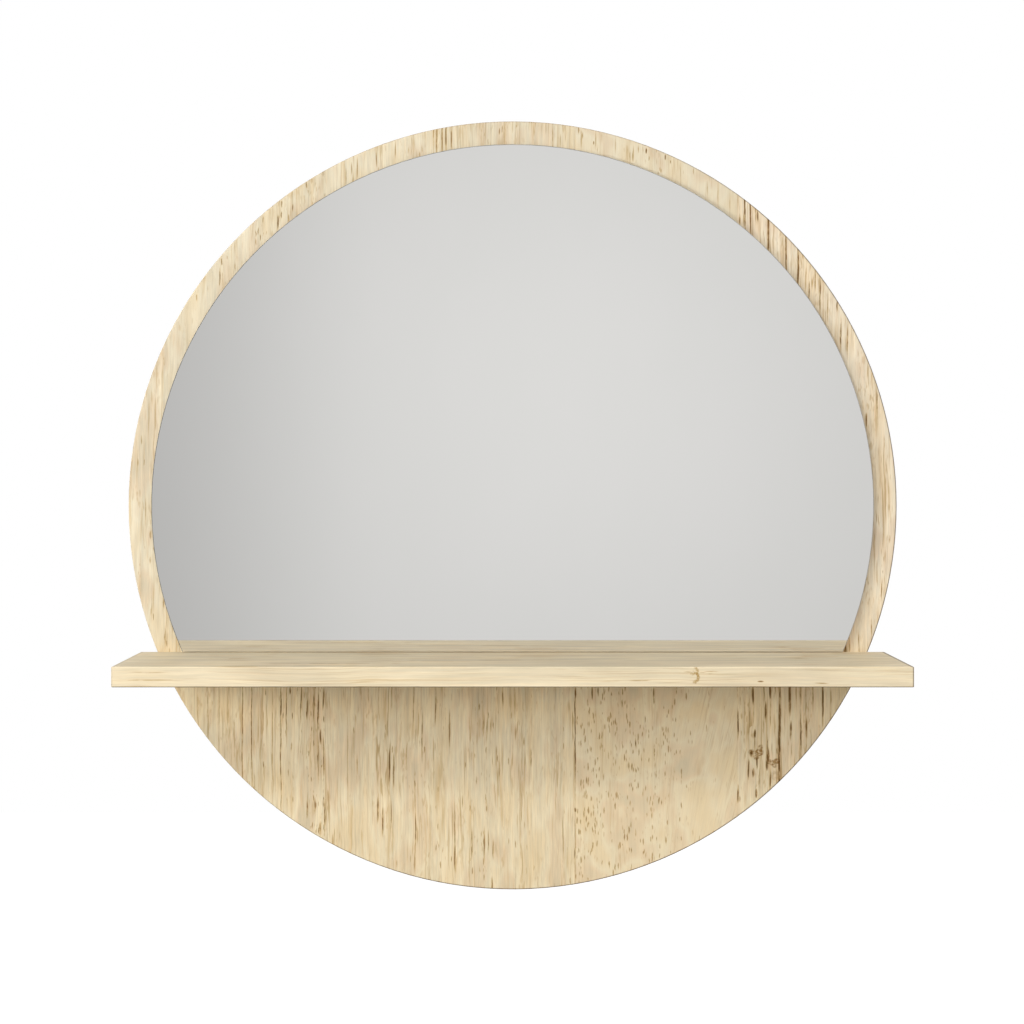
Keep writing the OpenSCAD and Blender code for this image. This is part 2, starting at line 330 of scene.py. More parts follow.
def stretched(net, spot, across, along, seed):
    """Grain space drawn out along the grain, moved to a place of its own for each seed."""
    scaled = net.vector("MULTIPLY", spot, (1.0 / across, 1.0 / across, 1.0 / along))
    return net.vector("ADD", scaled, [seed * step for step in SEED_STEP])


def pattern(net, spot, seed, name, size=None):
    """The noise of a named pattern, in a size of its own if one is given."""
    usual, step, detail, roughness, _ = PATTERNS[name]
    across, along = size or usual
    return net.noise(stretched(net, spot, across, along, seed + step), detail, roughness)


def shown(net, noise, name, low=0.0, high=1.0, smooth=True):
    """A pattern's noise as a number from low, where it doesn't show, to high, where it does."""
    return net.ramp(noise, *PATTERNS[name][-1], low, high, smooth)


def swing(net, spot, seed, name, reach, size=None):
    """A smooth sideways shift of up to about half of reach either way."""
    return net.math("MULTIPLY_ADD", pattern(net, spot, seed, name, size), 2.0 * reach, -reach)


def shifted(net, spot, shift):
    return net.vector("ADD", spot, net.node("CombineXYZ", {0: shift}).outputs[0])


def grain_paths(net, spot, seed, look):
    """Grain space with lines that wander: a little, and as far as the board's figure does.

    lean is (where it begins, where it is full, both across; level; slope), below the shelf only.
    """
    held = shifted(net, spot, swing(net, spot, seed, "wander", look["jitter"]))
    sway = swing(net, spot, seed, "sway", look["sway"], (SWAY_ACROSS, look["sway_length"]))
    moved = shifted(net, held, sway)
    if look["lean"]:
        start, end, level, slope = look["lean"]
        x, _, z = net.split(spot)
        tilt = net.times(net.math("SUBTRACT", z, level), slope)
        tilt = net.times(tilt, net.ramp(z, *TURN, 1.0, 0.0))
        moved = shifted(net, moved, net.times(tilt, net.ramp(x, start, end)))
    return held, moved


def growth_rings(net, spot, moved, seed, look):
    """The porous start and the dense end of each ring, round a pith that lies off the board."""
    pith = net.vector("SUBTRACT", moved, (*look["pith"], 0.0))
    pith = net.vector("MULTIPLY", pith, (1.0 / look["ring"], 1.0 / look["ring"], 0.0))
    wide = pattern(net, spot, seed, "ring_width")
    ring = net.math("MULTIPLY_ADD", wide, RING_DRIFT, net.vector("LENGTH", pith))
    ring = net.math("FRACT", ring)
    return net.ramp(ring, *POROUS_PART, 1.0, 0.0), net.ramp(ring, *DENSE_PART)


def near_face(net, look, depths):
    """1 in the face that is seen from the front, 0 from the second depth behind it."""
    front = PANEL_FRONT_Y if look["rim"] else SHELF_FRONT_Y
    start, end = depths
    depth = net.split(net.coords())[1]
    return net.ramp(depth, (front + start) * MM, (front + end) * MM, 1.0, 0.0)


def base_tone(net, spot, moved, crisp, late, seed, look):
    """Wood without marks, from broad zones down to single fibres."""
    base = net.steps(pattern(net, spot, seed, "zone", look["zone_size"]), look["zones"])
    along = net.split(spot)[2]
    base = net.tint(net.ramp(along, *TURN), base, look["fade"])
    # Painted warm bounce light in the shelf's shadow, on the panel's face under the shelf.
    if look["rim"]:
        ends = net.ramp(along, *SHELF_SHADE_ENDS, 1.0, 0.0)
        under = net.times(net.ramp(along, *SHELF_SHADE_BEGINS), ends)
        under = net.times(under, near_face(net, look, SHELF_SHADE_DEPTH))
        base = net.tint(under, base, WARM_SHADE_UNDER_SHELF)
    patch = pattern(net, moved, seed, "patch")
    stripe = pattern(net, moved, seed, "stripe")
    fibre = pattern(net, crisp, seed, "fibre")
    level = shown(net, patch, "patch", *look["patch"], smooth=False)
    level = net.times(level, shown(net, stripe, "stripe", *look["stripe"], smooth=False))
    level = net.times(level, shown(net, fibre, "fibre", *look["fibre"], smooth=False))
    level = net.math("MULTIPLY_ADD", late, -look["late"], level)
    if look["bands"]:
        across, length, low, high = look["bands"]
        band = pattern(net, crisp, seed, "band", (across, length))
        level = net.times(level, shown(net, band, "band", low, high, smooth=False))
    return net.tint(1.0, base, net.grey(level)), patch, fibre


def grain_lines(net, spot, moved, crisp, early, seed, look):
    """Fine brown lines, short curly ones in places, and broken lines where rings begin."""
    fine_size = look["line_size"]
    long_size = (fine_size[0] * LONG_SIZE[0], fine_size[1] * LONG_SIZE[1])
    fine = shown(net, pattern(net, crisp, seed, "fine", fine_size), "fine")
    long = pattern(net, moved, seed, "long", long_size)
    fine = net.math("MAXIMUM", fine, shown(net, long, "long", 0.0, LONG_SHARE))
    fine = net.times(fine, shown(net, pattern(net, spot, seed, "busy"), "busy", *BUSY_SHARE))
    curly = shown(net, pattern(net, spot, seed, "curly"), "curly")
    curl = shown(net, pattern(net, crisp, seed, "curl"), "curl")
    curl = net.times(curl, net.times(curly, look["curl"]))
    fine = net.times(net.math("MAXIMUM", fine, curl), look["fine"])
    broken = shown(net, pattern(net, spot, seed, "broken"), "broken")
    thin = net.times(net.times(early, broken), look["lines"])
    return net.math("MAXIMUM", fine, thin)


def pores(net, spot, size, tone, seed, density):
    """Short dark dashes. size is (spacing across, spacing along, share filled)."""
    across, along, fill = size
    frayed = shifted(net, spot, swing(net, spot, seed, "pore_fray", PORE_FRAY))
    cell = net.node("TexVoronoi", {
        "Vector": stretched(net, frayed, across, along, seed),
        "Scale": 1.0, "Detail": 0.0, "Randomness": 1.0,
    }, feature="F1", distance="EUCLIDEAN")
    core = net.ramp(cell.outputs["Distance"], fill * PORE_OUTLINE, fill * PORE_CORE)
    tint = net.node("SeparateColor", {0: cell.outputs["Color"]})
    there = net.math("SUBTRACT", density, tint.outputs[0])
    there = net.times(there, PORE_CUT, clamp=True)
    weight = net.math("MULTIPLY_ADD", tint.outputs[1], tone[1] - tone[0], tone[0])
    return net.times(net.times(core, there), weight)


def open_pores(net, spot, held, early, seed, look):
    """Two sizes of pore, as thick on the board as its list of stops across the span says."""
    x, _, along = net.split(spot)
    share = net.steps(net.ramp(x, *look["span"], smooth=False), look["pores"])
    density = net.math("MULTIPLY_ADD", early, look["ring_pores"], share)
    flock = pattern(net, spot, seed, "flock")
    density = net.times(density, shown(net, flock, "flock", look["gaps"], FLOCK_MOST))
    density = net.times(density, net.ramp(along, *TURN, 1.0, look["pores_above"]))
    tone = look["pore_tone"]
    large = pores(net, held, look["pore"], tone, seed + LARGE_PORE_STEP, density)
    small = pores(net, held, look["small_pore"], tone, seed + SMALL_PORE_STEP, density)
    return net.math("MAXIMUM", large, net.times(small, SMALL_PORE_SHARE))


def oval(net, spot, middle, reach):
    """1 at the middle of an oval, falling to 0 at its outline."""
    shape = [1.0 / r if r else 0.0 for r in reach]
    off = net.vector("MULTIPLY", net.vector("SUBTRACT", spot, middle), shape)
    return net.math("SUBTRACT", 1.0, net.vector("DOT_PRODUCT", off, off), clamp=True)


def streaks(net, spot, places):
    """Dark lines, each (across, one end, other end, half width, strength)."""
    total = 0.0
    for x, start, end, half, strength in places:
        reach = (STREAK_WIDTH * half, 0.0, abs(end - start) / 2)
        line = oval(net, spot, (x, 0.0, (start + end) / 2), reach)
        total = net.math("MAXIMUM", total, net.times(line, STREAK_GAIN * strength))
    return total


def arcs(net, spot, seed, places):
    """Curved scars round a knot, each (across, along, radius, half width, side, strength).

    side is 1 or -1 for the half towards or against the grain's direction, 0 for a full ring.
    """
    frayed = shifted(net, spot, swing(net, spot, seed, "scar_fray", SCAR_FRAY))
    total = 0.0
    for x, z, radius, half, side, strength in places:
        off = net.vector("SUBTRACT", frayed, (x, 0.0, z))
        off = net.vector("MULTIPLY", off, (1.0, 0.0, 1.0))
        away = net.math("ABSOLUTE", net.math("SUBTRACT", net.vector("LENGTH", off), radius))
        line = net.ramp(away, half, half * SCAR_CORE, 0.0, strength)
        if side:
            past = net.vector("DOT_PRODUCT", off, (0.0, 0.0, side))
            line = net.times(line, net.ramp(past, -SCAR_TURN, SCAR_TURN))
        total = net.math("MAXIMUM", total, line)
    rough = pattern(net, spot, seed, "scar")
    return net.times(total, shown(net, rough, "scar", *SCAR_SHARE), clamp=True)


def placed_marks(net, spot, held, moved, seed, look):
    """Marks with places of their own, broken up so that none is a clean shape."""
    rough = pattern(net, spot, seed, "rough")
    near = near_face(net, look, STREAK_DEPTH)
    fading = net.math("MULTIPLY_ADD", near, 1.0 - STREAK_BEHIND, STREAK_BEHIND)
    lines = net.times(streaks(net, moved, look["streaks"]), fading)
    marks = net.math("MAXIMUM", lines, streaks(net, held, look["seams"]))
    return net.times(marks, shown(net, rough, "rough", *MARK_SHARE))


def end_grain(net, colour, along):
    """End grain drinks more oil."""
    facing = (0.0, 0.0, 1.0) if along == "Z" else (1.0, 0.0, 0.0)
    ends = net.math("ABSOLUTE", net.vector("DOT_PRODUCT", net.coords("Normal"), facing))
    return net.tint(net.ramp(ends, *END_FACE, 0.0, END_GRAIN_SHARE), colour, END_GRAIN)


def inside(outline, depths):
    """Two depths in millimetres inside an outline, as places in metres."""
    return [(outline - depth) * MM for depth in depths]


def painted_rim_shade(net, colour, look):
    """Painted shade on the panel's rounded front edge, faint all round and darkest at the lower
    right.
    """
    place = net.coords()
    # Painted shade, growing towards the lower right, the side away from the light.
    shaded_side = net.ramp(net.vector("DOT_PRODUCT", place, AWAY_FROM_LIGHT), *RIM_SHADED_SIDE)
    radius = net.vector("LENGTH", net.vector("MULTIPLY", place, (1.0, 0.0, 1.0)))
    edge = net.ramp(radius, *inside(look["rim"], RIM_SHADE_BAND))
    edge = net.times(edge, near_face(net, look, RIM_DEPTH))
    return net.tint(net.times(edge, shaded_side), colour, PAINTED_EDGE_SHADE)


def painted_shelf_edge_light(net, colour):
    """Painted shade on the shelf's rounded edges below and at its ends, most at the right-hand
    end, and a painted highlight on its upper front edge.
    """
    x, y, z = net.split(net.coords("Normal"))
    round_part = net.ramp(net.math("ABSOLUTE", y), *ROUNDED)
    under = net.times(round_part, net.ramp(z, *DOWNWARD))
    front = net.times(round_part, net.ramp(y, *FORWARD))
    side = net.split(net.coords())[0]
    wider = net.ramp(z, *ON_TOP, 0.0, WIDER_ON_TOP * MM)
    reach = net.math("ADD", net.math("ABSOLUTE", side), wider)
    ends = net.ramp(reach, *inside(SHELF_HALF, SHELF_SHADE_BAND))
    ends = net.times(ends, net.ramp(side, *SHELF_SHADED_SIDE))
    ends = net.times(ends, net.ramp(net.math("ABSOLUTE", x), *ON_END, 1.0, END_FACE_SHARE))
    # Painted shade on the lower edge and the ends.
    colour = net.tint(net.math("MAXIMUM", under, ends), colour, PAINTED_EDGE_SHADE)
    # Painted highlight on the upper front edge.
    over = net.times(front, net.ramp(z, *UPWARD))
    return net.tint(over, colour, PAINTED_EDGE_HIGHLIGHT)


def wood(name, along, seed, look):
    """Pale open-pored wood. look holds what differs from the usual board."""
    look = {**WOOD_LOOK, **look}
    made, net, shader = new_material(name)
    spot = grain_space(net, along, look["depth"])
    held, moved = grain_paths(net, spot, seed, look)
    crisp = net.vector("MULTIPLY", moved, (1.0, 1.0 / look["depth"], 1.0))
    early, late = growth_rings(net, spot, moved, seed, look)
    base, patch, fibre = base_tone(net, spot, moved, crisp, late, seed, look)
    marks = grain_lines(net, spot, moved, crisp, early, seed, look)
    if look["pores"]:
        marks = net.math("MAXIMUM", marks, open_pores(net, spot, held, early, seed, look))
    placed = placed_marks(net, spot, held, moved, seed, look)
    marks = net.math("MAXIMUM", marks, placed, clamp=True)
    colour = net.tint(1.0, base, net.steps(marks, MARK_TINTS))
    if look["arcs"]:
        scars = arcs(net, held, seed, look["arcs"])
        scars = net.times(scars, near_face(net, look, SCAR_DEPTH))
        colour = net.tint(scars, colour, look["resin"])
    colour = end_grain(net, colour, along)
    colour = painted_rim_shade(net, colour, look) if look["rim"] else painted_shelf_edge_light(net, colour)

    height = net.math("MULTIPLY_ADD", marks, MARK_HEIGHT, net.times(fibre, FIBRE_HEIGHT))
    sheen = net.ramp(patch, *MOST, *WOOD_ROUGHNESS)
    net.put(shader.inputs["Base Color"], colour)
    net.put(shader.inputs["Roughness"], net.math("MULTIPLY_ADD", marks, MARK_ROUGHNESS, sheen))
    add_bump(net, shader, height, *WOOD_BUMP)
    shader.inputs["Specular IOR Level"].default_value = WOOD_SPECULAR
    return made


# ---------------------------------------------------------------- wood: the five boards

# Each streak or seam is (across, one end, other end, half width, strength), each arc (across,
# along, radius, half width, side, strength). pores is the share of pores at stops across span.
SEAM_MIDDLE = (
    (52.0, -420.0, 420.0, 0.75, 0.50), (52.1, -130.0, -260.0, 0.9, 0.85),
    (52.3, -150.0, -162.0, 1.2, 0.95), (51.9, -156.0, -196.0, 0.8, 0.70),
    (52.2, -186.0, -234.0, 1.0, 0.95), (52.0, -251.0, -256.0, 1.3, 0.90),
    (52.0, -230.0, -345.0, 0.6, 0.50), (51.8, -284.0, -296.0, 1.0, 0.75),
    (52.0, -120.0, 345.0, 0.6, 0.40),
)
LEFT_LOOK = {
    "span": (-320.0, JOINT_LEFT), "pith": (-250.0, 120.0),
    "pores": ((0.0, 0.10), (0.35, 0.14), (0.90, 0.20), (0.935, 0.85), (1.0, 0.85)),
    "lines": 0.36, "fine": 0.42,
    "streaks": (
        (-263.0, -140.0, -200.0, 0.8, 0.42), (-255.0, -130.0, -235.0, 0.8, 0.51),
        (-245.6, -130.0, -215.0, 0.9, 0.38), (-238.0, -165.0, -185.0, 1.4, 0.42),
        (-225.8, -120.0, -262.0, 0.9, 0.64), (-218.0, -120.0, -262.0, 0.9, 0.64),
        (-210.0, -150.0, -240.0, 0.8, 0.38), (-200.4, -130.0, -268.0, 0.8, 0.47),
        (-193.3, -146.0, -186.0, 1.3, 0.81), (-193.3, -130.0, -282.0, 0.9, 0.72),
        (-188.6, -140.0, -205.0, 0.9, 0.64), (-185.7, -150.0, -158.0, 1.2, 0.77),
        (-177.0, -140.0, -184.0, 1.0, 0.72), (-172.0, -159.0, -180.0, 1.3, 0.85),
        (-184.5, -196.0, -207.0, 0.9, 0.59), (-171.6, -244.0, -262.0, 1.1, 0.72),
        (-166.4, -150.0, -182.0, 1.1, 0.72), (-162.5, -150.0, -190.0, 1.2, 0.81),
        (-160.0, -185.0, -200.0, 1.3, 0.81), (-158.2, -150.0, -172.0, 1.2, 0.77),
        (-162.0, -186.0, -236.0, 0.9, 0.64), (-157.5, -186.0, -232.0, 0.9, 0.64),
        (-165.0, -242.0, -258.0, 1.0, 0.64), (-160.0, -262.0, -277.0, 1.6, 0.59),
        (-196.0, 244.6, 228.2, 1.0, 1.00), (-187.1, 243.0, 235.0, 0.9, 0.95),
        (-184.0, 252.0, 243.0, 0.8, 0.70), (-244.5, 199.0, 183.0, 0.8, 0.85),
        (-231.3, 204.0, 194.0, 1.0, 0.40), (-312.0, 40.0, 31.0, 1.1, 0.45),
        (-308.9, 59.0, 50.0, 1.0, 0.45), (-306.0, 14.0, -24.0, 0.8, 0.40),
        (-302.0, -20.0, -29.0, 1.0, 0.50), (-302.2, -42.0, -49.0, 0.9, 0.45),
        (-300.4, -70.0, -99.0, 0.8, 0.30), (-290.6, -75.0, -87.0, 1.1, 0.50),
        (-289.4, -95.0, -124.0, 0.7, 0.50),
    ),
    "seams": (
        (-156.4, -244.0, -269.0, 1.2, 0.95), (-156.0, -345.0, 345.0, 0.5, 0.40),
    ),
}
MIDDLE_LEFT_LOOK = {
    "span": (JOINT_LEFT, JOINT_MIDDLE), "pith": (-40.0, 150.0),
    "pores": (
        (0.0, 0.12), (0.15, 0.10), (0.35, 0.20), (0.55, 0.14),
        (0.64, 0.45), (0.70, 0.16), (1.0, 0.10),
    ),
    "ring_pores": 0.28, "lines": 0.36, "fine": 0.50, "curl": 0.60,
    "streaks": (
        (-137.0, -140.0, -290.0, 0.7, 0.34), (-129.0, -206.0, -226.0, 1.0, 0.48),
        (-120.0, -150.0, -165.0, 1.1, 0.44), (-112.4, -240.0, -266.0, 1.3, 0.76),
        (-108.3, -246.0, -280.0, 1.1, 0.76), (-101.8, -194.0, -238.0, 1.4, 0.76),
        (-98.2, -204.0, -238.0, 1.3, 0.76), (-101.3, -238.0, -280.0, 0.9, 0.56),
        (-82.5, -140.0, -192.0, 0.9, 0.52), (-87.8, -192.0, -222.0, 1.0, 0.40),
        (-80.7, -206.0, -320.0, 0.8, 0.48), (-80.7, -250.0, -292.0, 1.0, 0.72),
        (-74.8, -168.0, -212.0, 1.0, 0.64), (-63.6, -148.0, -188.0, 1.0, 0.64),
        (-51.8, -164.0, -208.0, 1.0, 0.68), (-48.5, -238.0, -312.0, 0.9, 0.56),
        (-48.5, -276.0, -309.0, 1.2, 0.72), (-34.6, -266.0, -298.0, 1.0, 0.68),
        (-41.7, -240.0, -254.0, 1.0, 0.48), (-24.0, -176.0, -194.0, 0.9, 0.72),
        (-20.8, -174.0, -192.0, 0.8, 0.64), (-17.4, -176.0, -190.0, 0.8, 0.64),
        (-22.0, -242.0, -256.0, 1.2, 0.48), (-24.0, -266.0, -300.0, 1.1, 0.60),
        (-20.5, -268.0, -292.0, 0.9, 0.52), (-16.5, -276.0, -296.0, 1.0, 0.52),
        (-18.0, -308.0, -324.0, 1.2, 0.64), (-10.5, -210.0, -232.0, 1.2, 0.48),
        (-8.0, -148.0, -172.0, 1.1, 0.56), (2.0, -146.0, -180.0, 1.6, 0.36),
        (16.2, -200.0, -220.0, 1.1, 0.60), (10.3, -192.0, -202.0, 1.1, 0.48),
        (42.6, -250.0, -300.0, 0.8, 0.44), (-66.0, 290.0, 330.0, 1.1, 0.48),
        (-63.4, 285.0, 330.0, 1.4, 0.68), (-58.9, 285.0, 330.0, 1.2, 0.64),
        (-55.7, 285.0, 330.0, 1.2, 0.68), (-51.2, 285.0, 330.0, 1.1, 0.60),
        (-6.0, 290.0, 330.0, 2.2, 0.32), (34.0, 280.0, 330.0, 0.7, 0.44),
        (-10.7, 315.0, 308.0, 0.9, 0.60), (3.9, 318.0, 314.0, 0.8, 0.50),
        (-138.8, 282.0, 265.0, 0.8, 0.45), (-133.9, 287.0, 273.0, 0.8, 0.50),
        (-129.0, 292.0, 270.0, 0.9, 0.60), (-112.9, 299.0, 279.0, 0.9, 0.55),
        (-97.3, 305.0, 285.0, 0.9, 0.50),
    ),
    "seams": SEAM_MIDDLE,
}
MIDDLE_RIGHT_LOOK = {
    "span": (JOINT_MIDDLE, JOINT_RIGHT), "pith": (210.0, 60.0), "ring": 12.0,
    "zone_size": (30.0, 40.0), "lean": (105.0, 165.0, -180.0, -0.22),
    "patch": (0.97, 1.03), "stripe": (0.98, 1.015), "fibre": (0.95, 1.045), "late": 0.02,
    "pores": ((0.0, 0.62), (0.30, 0.60), (0.62, 0.46), (0.75, 0.12), (1.0, 0.05)),
    "pore": (1.9, 10.5, 0.31), "small_pore": (1.5, 7.5, 0.30), "pore_tone": (0.45, 1.0),
    "ring_pores": 0.08, "gaps": 0.25, "pores_above": 0.4,
    "lines": 0.20, "fine": 0.24, "curl": 0.4,
    "streaks": (
        (66.0, -148.0, -163.0, 1.2, 0.90), (71.0, -150.0, -160.0, 1.0, 0.75),
        (116.0, -150.0, -164.0, 1.0, 0.75), (102.0, -192.0, -204.0, 1.0, 0.75),
        (57.7, 312.0, 304.0, 1.2, 0.50), (66.6, 304.0, 300.0, 0.8, 0.60),
        (104.4, 301.0, 293.0, 0.7, 0.50), (110.8, 298.0, 292.5, 1.0, 0.95),
        (127.1, 293.0, 287.0, 0.9, 0.85), (131.7, 288.0, 284.0, 0.8, 0.60),
        (123.5, 281.0, 276.5, 1.0, 0.90), (99.8, 296.0, 285.5, 1.0, 0.45),
        (150.9, 281.5, 275.0, 0.8, 0.55), (162.4, 271.5, 255.0, 0.8, 0.50),
        (57.0, 314.0, 296.0, 1.2, 0.40), (68.2, 314.0, 294.0, 0.9, 0.38),
        (85.1, 309.0, 291.0, 0.9, 0.34), (95.5, 304.0, 284.0, 2.2, 0.30),
        (97.6, 298.0, 284.0, 0.8, 0.50), (100.5, 301.0, 285.0, 0.7, 0.45),
        (140.0, 289.0, 262.0, 0.8, 0.30), (171.4, 272.0, 246.0, 0.8, 0.38),
        (181.2, 266.0, 238.0, 0.8, 0.34),
    ),
    "seams": SEAM_MIDDLE,
}
RIGHT_LOOK = {
    "span": (JOINT_RIGHT, 320.0), "pith": (260.0, 120.0), "fade": UPPER_RIGHT,
    "pores": ((0.0, 0.10), (0.4, 0.12), (0.8, 0.08), (1.0, 0.06)),
    "ring_pores": 0.25, "lines": 0.50,
    "streaks": (
        (192.0, -140.0, -200.0, 0.9, 0.35), (196.3, -150.0, -205.0, 0.9, 0.50),
        (196.5, -209.0, -230.0, 1.1, 0.95), (199.5, -146.0, -169.0, 1.5, 0.95),
        (199.5, -160.0, -188.0, 1.0, 0.45), (201.3, -185.5, -195.0, 1.5, 0.95),
        (201.3, -190.0, -204.0, 0.8, 0.60), (198.6, -203.0, -210.5, 2.0, 0.80),
        (203.2, -207.0, -221.0, 1.3, 0.85), (200.4, -218.0, -227.0, 1.4, 1.00),
        (205.5, -214.0, -240.0, 0.8, 0.50), (203.2, -235.0, -244.5, 1.5, 0.95),
        (209.0, -140.0, -166.0, 1.0, 0.55), (210.0, -162.0, -182.0, 1.5, 1.00),
        (214.0, -146.0, -163.0, 1.5, 1.00), (214.2, -158.0, -187.0, 0.9, 0.60),
        (211.7, -189.0, -216.0, 1.4, 0.95), (212.3, -200.0, -216.0, 2.3, 0.90),
        (211.6, -210.0, -222.0, 1.6, 0.85), (214.6, -218.0, -240.0, 1.4, 0.75),
        (222.2, -130.0, -256.0, 1.9, 1.00), (222.4, -215.0, -240.0, 2.4, 0.75),
        (230.8, -140.0, -178.0, 2.0, 1.00), (231.9, -178.0, -197.0, 1.5, 0.90),
        (236.5, -140.0, -172.0, 1.2, 0.40), (240.2, -140.0, -170.0, 1.5, 0.55),
        (240.2, -166.0, -216.0, 1.1, 0.90), (245.0, -172.0, -198.0, 1.5, 0.75),
        (244.6, -140.0, -180.0, 1.0, 0.50), (250.5, -140.0, -175.0, 1.1, 0.50),
        (258.9, -130.0, -190.0, 1.4, 0.90), (226.5, -145.0, -200.0, 0.9, 0.30),
        (189.6, 244.0, 232.0, 1.2, 0.60), (193.9, 290.0, 215.0, 1.2, 0.95),
        (198.4, 270.0, 215.0, 1.1, 0.80), (202.9, 275.0, 230.0, 1.3, 0.85),
        (213.2, 260.0, 195.0, 1.4, 1.00), (227.4, 240.0, 175.0, 1.3, 0.85),
        (237.7, 230.0, 165.0, 1.4, 1.00), (204.4, 250.0, 233.0, 1.0, 0.90),
        (224.5, 238.0, 194.0, 3.0, 0.33), (244.4, 202.0, 176.0, 0.9, 0.55),
        (247.2, 188.0, 170.0, 0.9, 1.00), (252.1, 197.0, 177.0, 0.9, 0.70),
        (256.3, 193.0, 156.0, 0.9, 0.85), (262.6, 181.0, 148.0, 0.9, 0.50),
        (270.4, 173.0, 159.0, 0.9, 0.80), (273.9, 156.0, 126.0, 1.0, 1.00),
        (279.5, 152.0, 120.0, 0.9, 0.80), (303.5, 102.0, 66.0, 1.1, 0.65),
        (294.6, 78.0, 64.0, 1.1, 0.90), (309.5, 60.0, 44.0, 0.9, 0.40),
        (311.0, 40.0, 24.0, 0.9, 0.45), (312.3, 22.0, 4.0, 1.0, 0.40),
        (312.9, 3.0, -6.0, 0.9, 0.45), (307.8, -19.0, -29.0, 1.0, 0.40),
        (312.9, -24.0, -32.0, 1.0, 0.45), (307.6, -58.0, -82.0, 0.8, 0.60),
        (299.7, -93.0, -110.0, 1.1, 0.55), (289.2, -102.0, -126.0, 0.8, 0.60),
        # The last two streaks are dark lines in the wood and also painted shade in the corner
        # where the mirror's edge meets the shelf.
        (281.5, -106.0, -124.0, 1.2, 0.60), (278.0, -112.0, -128.0, 2.0, 0.85),
    ),
    "seams": (
        (187.7, -168.0, -197.0, 1.1, 0.95), (187.7, -231.0, -249.0, 1.2, 1.00),
        (187.0, -345.0, 345.0, 0.6, 0.45),
    ),
    "arcs": (
        (205.2, -205.4, 2.0, 2.1, 0.0, 1.00), (206.4, -201.2, 1.1, 1.6, 0.0, 0.75),
        (199.0, -205.6, 1.2, 2.0, 0.0, 0.80), (203.0, -209.8, 1.2, 1.7, 0.0, 0.80),
        (213.6, -213.4, 1.0, 1.7, 0.0, 0.80), (216.4, -214.4, 1.3, 1.7, 0.0, 0.90),
        (219.8, -213.0, 1.3, 1.7, 0.0, 0.95), (218.2, -216.8, 0.9, 1.5, 0.0, 0.70),
        (218.6, -225.0, 2.6, 2.2, 0.0, 0.30),
    ),
}
SHELF_LOOK = {
    "zones": SHELF_ZONES, "zone_size": (30.0, 150.0), "fade": SHELF_FADE, "rim": None,
    "pith": (-90.0, -20.0), "ring": 6.0, "depth": 0.13, "sway": 5.0, "sway_length": 150.0,
    "patch": (0.97, 1.03), "stripe": (0.95, 1.04), "fibre": (0.95, 1.04),
    "bands": (13.0, 110.0, 0.89, 1.08), "resin": RESIN,
    "line_size": (1.4, 80.0), "fine": 0.36, "curl": 0.10, "lines": 0.18,
    "streaks": (
        (-133.2, 188.5, 194.5, 0.9, 0.70), (-133.4, 232.0, 245.0, 0.8, 0.45),
        (-133.2, 88.0, 108.0, 0.9, 0.50), (-133.2, 66.0, 86.0, 0.8, 0.28),
        (-125.6, 147.0, 160.0, 0.7, 0.50), (-127.6, 149.0, 156.0, 0.6, 0.40),
        (-126.4, 143.0, 150.0, 0.6, 0.40), (-127.5, -300.0, -262.0, 0.9, 0.30),
        (-133.5, -308.0, -250.0, 1.0, 0.35), (-126.6, 131.0, 140.0, 0.7, 0.35),
    ),
    "arcs": (
        (-130.2, 139.6, 3.7, 1.7, 1.0, 1.00), (-125.4, 140.6, 2.2, 1.5, 1.0, 0.85),
        (-127.6, 138.6, 0.8, 1.1, 0.0, 0.50),
    ),
}


# ---------------------------------------------------------------- other finishes

# Pairs of colours or roughnesses are mixed by noise. Noise sizes are waves to the metre, and a
# bump is (strength, millimetres).
MIRROR_FACE = (0.90, 0.97)
MIRROR_FOOT = (-0.3, -0.6)
HAZE, HAZY, SMEARED = (9.0, 9.0, 6.0), (0.35, 0.7), (0.55, 0.8)
SPECK = (900.0, 900.0, 900.0)
SILVER = ((0.960, 0.963, 0.953, 1.0), (0.971, 0.971, 0.964, 1.0))
SILVER_ROUGHNESS = (0.004, 0.012)
GROUND = ((0.27, 0.265, 0.245, 1.0), (0.35, 0.345, 0.325, 1.0))
# Painted shade and highlight on the ground edge, from facing left to facing right.
GROUND_PAINTED_LIGHT = (-0.7, 0.7, 0.40, 1.60)
GROUND_ROUGHNESS = 0.35
# A painted reflection of the shelf's wood on the edge that faces down at the foot.
SHELF_REFLECTED_AT_FOOT = (0.72, 0.66, 0.55, 1.0)

FILM = (linear(136, 140, 144), linear(152, 155, 158))
FILM_WEAVE, FILM_CLOUD = (600.0, 600.0, 600.0), (12.0, 12.0, 12.0)
FILM_ROUGHNESS = (0.42, 0.58)
FILM_BUMP = (0.2, 0.2)

FOAM = (linear(222, 221, 216), linear(240, 240, 236))
FOAM_CELLS, FOAM_CELL = 1600.0, (0.1, 0.6)
FOAM_ROUGHNESS = (0.85, 0.7)
FOAM_BUMP = (0.5, 0.2)

ZINC = (linear(196, 199, 203), linear(214, 213, 208))
ZINC_BRUSHED, ZINC_PATCH = (2600.0, 2600.0, 120.0), (160.0, 160.0, 160.0)
ZINC_ROUGHNESS, ZINC_PATCHY = (0.24, 0.36), (0.0, 0.1)
ZINC_BUMP = (0.15, 0.1)

BEECH = (linear(214, 178, 138), linear(229, 198, 160))
BEECH_FLECK = (1.6, 0.2, 1.6)
BEECH_ROUGHNESS = (0.55, 0.7)
BEECH_BUMP = (0.3, 0.2)

MIDDLING = (0.35, 0.65)


def waves(net, size, detail=3.0, roughness=0.5):
    """Noise over object coordinates, with as many waves to the metre as size says."""
    return net.noise(net.vector("MULTIPLY", net.coords(), size), detail, roughness)


